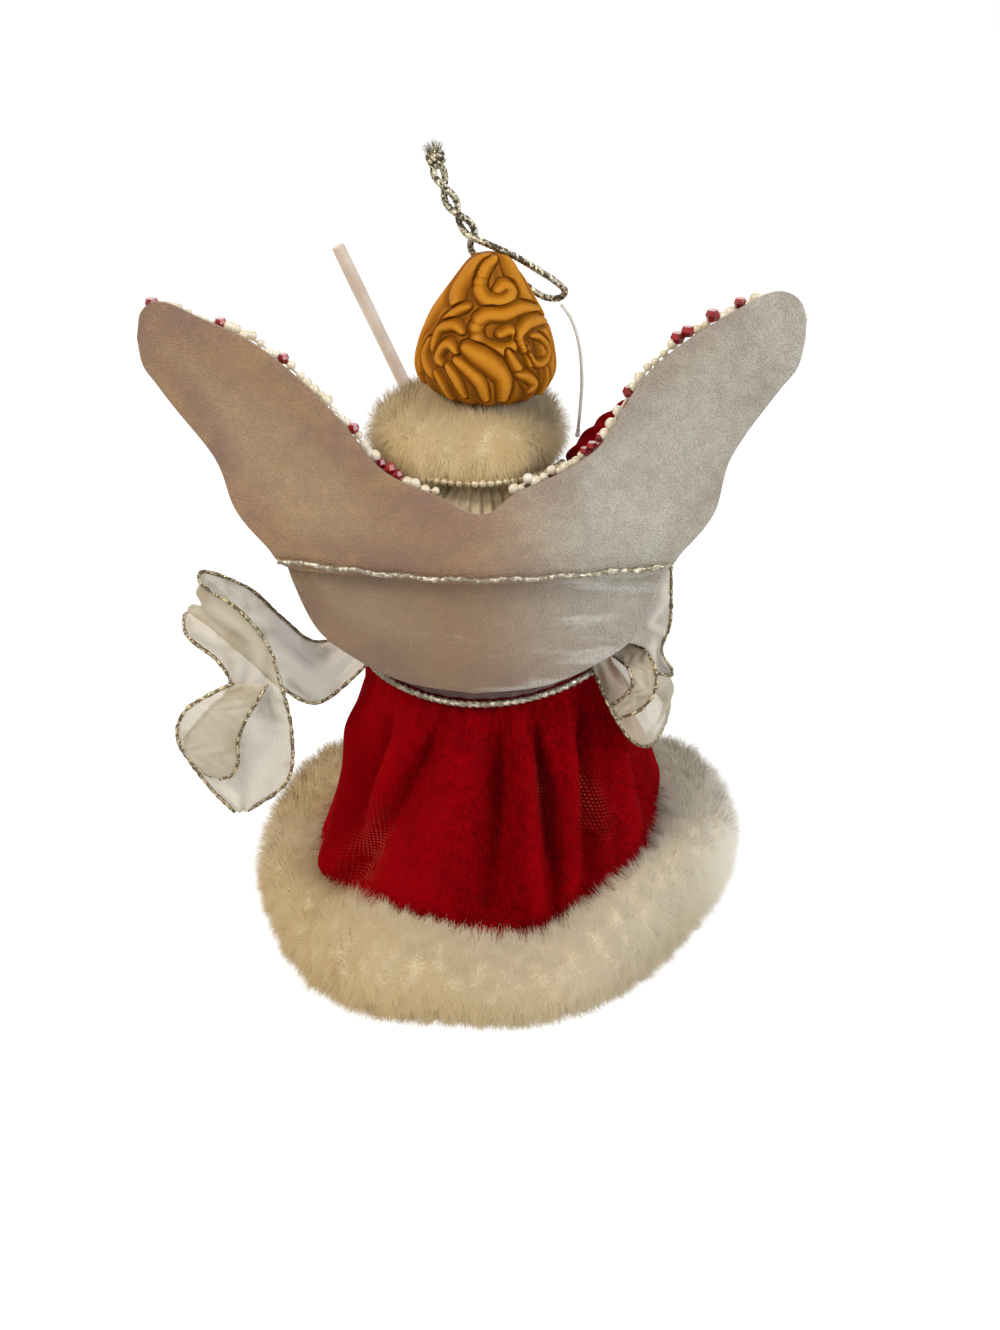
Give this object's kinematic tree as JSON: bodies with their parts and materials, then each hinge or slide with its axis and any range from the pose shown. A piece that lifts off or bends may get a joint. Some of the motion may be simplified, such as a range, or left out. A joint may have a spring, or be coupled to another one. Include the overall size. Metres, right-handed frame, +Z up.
{
  "type": "angel tree topper",
  "caption": "Angel tree topper: a card cone dressed in a velvet skirt with a plush hem, with felt wings, moulded hair, wire-jointed arms, a candle, wired ribbons and a hanging cord.",
  "frame": {"origin": "on the floor under the middle of the object, under the axis of the cone", "axes": "+Z up along the cone; the angel faces -Y and its left hand is at +X"},
  "size_m": [0.141, 0.1202, 0.1896],
  "materials": {
    "card": "matte",
    "turned_wood": "matte",
    "steel_wire": "satin",
    "face_resin": "satin",
    "hair_resin": "matte",
    "velvet": "matte",
    "cream_plush": "matte",
    "sheer_mauve": "satin",
    "silver_cord": "satin",
    "gold_beads": "gloss",
    "felt": "matte",
    "satin_felt": "satin",
    "wing_facing_cloth": "matte",
    "pearl_beads": "gloss",
    "candle_plastic": "satin",
    "organza": "satin",
    "nylon": "satin"
  },
  "bodies": {
    "figure": {"body_cone": "card", "neck_plug": "turned_wood", "shoulder_wire": "steel_wire", "head": "face_resin", "hair": "hair_resin", "crown_eye": "steel_wire", "skirt": "velvet", "hem_fur": "cream_plush", "waist_sash": "sheer_mauve", "sash_edge_cord": "silver_cord", "bodice": "velvet", "collar_fur": "cream_plush", "collar_bead_string": "gold_beads", "back_yoke": "sheer_mauve", "wing_facing": "wing_facing_cloth", "wing_upper_panel": "felt", "wing_lower_panel": "satin_felt", "wing_seam_cord": "silver_cord", "wing_pad": "felt", "wing_bead_string_left": "pearl_beads", "wing_bead_string_right": "pearl_beads", "ribbon_left": "organza", "ribbon_right": "organza", "hanging_cord_short": "silver_cord", "hanging_cord_long": "silver_cord", "hanging_knot": "silver_cord", "tag_thread": "nylon"},
    "left_arm": {"sleeve_left": "velvet", "arm_wire_left": "steel_wire", "cuff_left": "cream_plush", "hand_left": "face_resin", "candle": "candle_plastic"},
    "right_arm": {"sleeve_right": "velvet", "arm_wire_right": "steel_wire", "cuff_right": "cream_plush", "hand_right": "face_resin"}
  },
  "joints": [
    {"name": "left_shoulder", "type": "hinge", "parent": "figure", "child": "left_arm", "pos_m": [0.0206, 0, 0.112], "axis": [1, 0, 0], "range_deg": [-30, 12]},
    {"name": "right_shoulder", "type": "hinge", "parent": "figure", "child": "right_arm", "pos_m": [-0.0206, 0, 0.112], "axis": [1, 0, 0], "range_deg": [-22, 45]}
  ]
}
